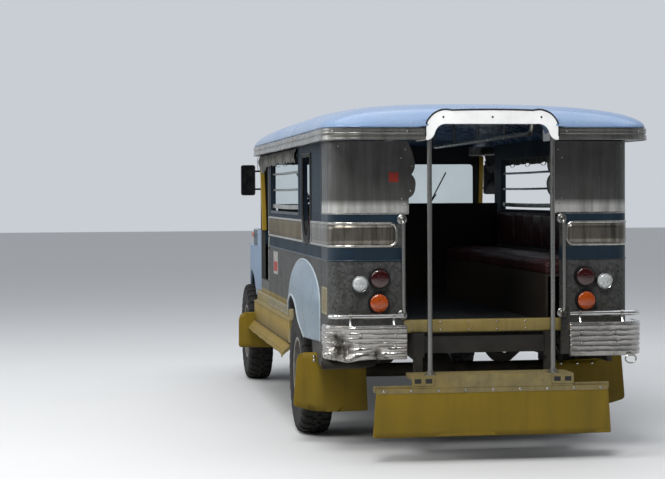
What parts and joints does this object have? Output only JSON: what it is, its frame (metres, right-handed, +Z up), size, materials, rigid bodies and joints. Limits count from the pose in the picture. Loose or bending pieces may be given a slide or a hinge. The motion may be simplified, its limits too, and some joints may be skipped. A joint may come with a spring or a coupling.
{
  "type": "jeepney",
  "caption": "Long open-sided passenger jeepney with a rear entrance, bench seats, steered front wheels, free-rolling wheels and a lifting hood.",
  "frame": {"origin": "on the ground under the middle of the bounding box", "axes": "+X to the vehicle's left, -Y forwards, +Y to the rear entrance, +Z up"},
  "size_m": [2.008, 5.55, 1.975],
  "materials": {
    "tyre_rubber": "worn",
    "rim_paint": "dusty",
    "chassis_black": "dusty matt",
    "engine_grey": "oily",
    "galvanised": "weathered galvanised sheet",
    "stainless": "brushed, stained",
    "bright_metal": "dented",
    "roof_blue": "faded, chipped",
    "fender_blue": "faded gloss",
    "cowl_navy": "faded",
    "step_yellow": "worn, dirty",
    "flap_yellow": "painted rubber, dirty",
    "glass_clear": "clear",
    "lens": "moulded lens",
    "dark_trim": "semi-gloss",
    "floor_plate": "checkered, scuffed",
    "seat_board": "varnished plywood",
    "seat_vinyl": "vinyl, worn",
    "curtain_cloth": "mottled, faded",
    "grip_black": "worn"
  },
  "bodies": {
    "body": {"cab_sides": "fender_blue", "chassis_rails": "chassis_black", "cowl": "cowl_navy", "cross_members": "chassis_black", "drip_rail": "stainless", "engine_block": "engine_grey", "exhaust_pipe": "chassis_black", "floor_deck": "floor_plate", "front_axle_beam": "chassis_black", "front_bumper": "bright_metal", "front_fenders": "fender_blue", "fuel_tank": "chassis_black", "grille_shell": "stainless", "handrails": "stainless", "headlamps": "bright_metal", "leaf_springs": "chassis_black", "mirrors": "dark_trim", "mud_flaps": "flap_yellow", "propshaft": "chassis_black", "radiator": "chassis_black", "rear_arch": "stainless", "rear_axle": "chassis_black", "rear_bumpers": "bright_metal", "rear_corners": "galvanised", "rear_fenders": "fender_blue", "rear_step": "step_yellow", "roof_shell": "roof_blue", "running_boards": "step_yellow", "seat_frames": "seat_board", "seat_pads": "seat_vinyl", "side_panel_left": "galvanised", "side_panel_right": "galvanised", "steering_column": "dark_trim", "tail_lamps": "lens", "window_bars": "dark_trim", "window_curtains": "curtain_cloth", "windshield_frame": "dark_trim", "windshield_glass": "glass_clear"},
    "wheel_front_left": {"tyre_front_left": "tyre_rubber", "rim_front_left": "rim_paint"},
    "wheel_front_right": {"tyre_front_right": "tyre_rubber", "rim_front_right": "rim_paint"},
    "wheel_rear_left": {"tyre_rear_left": "tyre_rubber", "rim_rear_left": "rim_paint"},
    "wheel_rear_right": {"tyre_rear_right": "tyre_rubber", "rim_rear_right": "rim_paint"},
    "steer_knuckle_left": {"knuckle_left": "chassis_black"},
    "steer_knuckle_right": {"knuckle_right": "chassis_black"},
    "track_rod": {"tie_rod": "chassis_black"},
    "hand_wheel": {"steering_wheel": "grip_black"},
    "hood": {"hood": "fender_blue"}
  },
  "joints": [
    {"name": "steer_left", "type": "hinge", "parent": "body", "child": "steer_knuckle_left", "pos_m": [0.666, -1.875, 0.375], "axis": [0, 0, 1], "range_deg": [-30, 30]},
    {"name": "steer_right", "type": "hinge", "parent": "body", "child": "steer_knuckle_right", "pos_m": [-0.666, -1.875, 0.375], "axis": [0, 0, 1], "range_deg": [-30.5, 30.5]},
    {"name": "track_rod_swing", "type": "hinge", "parent": "steer_knuckle_left", "child": "track_rod", "pos_m": [0.666, -1.715, 0.3], "axis": [0, 0, 1], "range_deg": [-30.5, 30.5]},
    {"name": "hand_wheel_turn", "type": "hinge", "parent": "body", "child": "hand_wheel", "pos_m": [0.38, -0.905, 1.29], "axis": [0, 0.766, 0.6428], "range_deg": [-481, 481]},
    {"name": "hood_lift", "type": "hinge", "parent": "body", "child": "hood", "pos_m": [0, -1.379, 1.196], "axis": [-1, 0, 0], "range_deg": [0, 55]},
    {"name": "roll_front_left", "type": "hinge", "parent": "steer_knuckle_left", "child": "wheel_front_left", "pos_m": [0.806, -1.875, 0.375], "axis": [1, 0, 0], "continuous": true},
    {"name": "roll_front_right", "type": "hinge", "parent": "steer_knuckle_right", "child": "wheel_front_right", "pos_m": [-0.806, -1.875, 0.375], "axis": [1, 0, 0], "continuous": true},
    {"name": "roll_rear_left", "type": "hinge", "parent": "body", "child": "wheel_rear_left", "pos_m": [0.806, 1.375, 0.375], "axis": [1, 0, 0], "continuous": true},
    {"name": "roll_rear_right", "type": "hinge", "parent": "body", "child": "wheel_rear_right", "pos_m": [-0.806, 1.375, 0.375], "axis": [1, 0, 0], "continuous": true}
  ],
  "couplings": [
    {"joint": "steer_right", "follows": "steer_left", "ratio": 1},
    {"joint": "track_rod_swing", "follows": "steer_left", "ratio": -1},
    {"joint": "hand_wheel_turn", "follows": "steer_left", "ratio": 16}
  ]
}
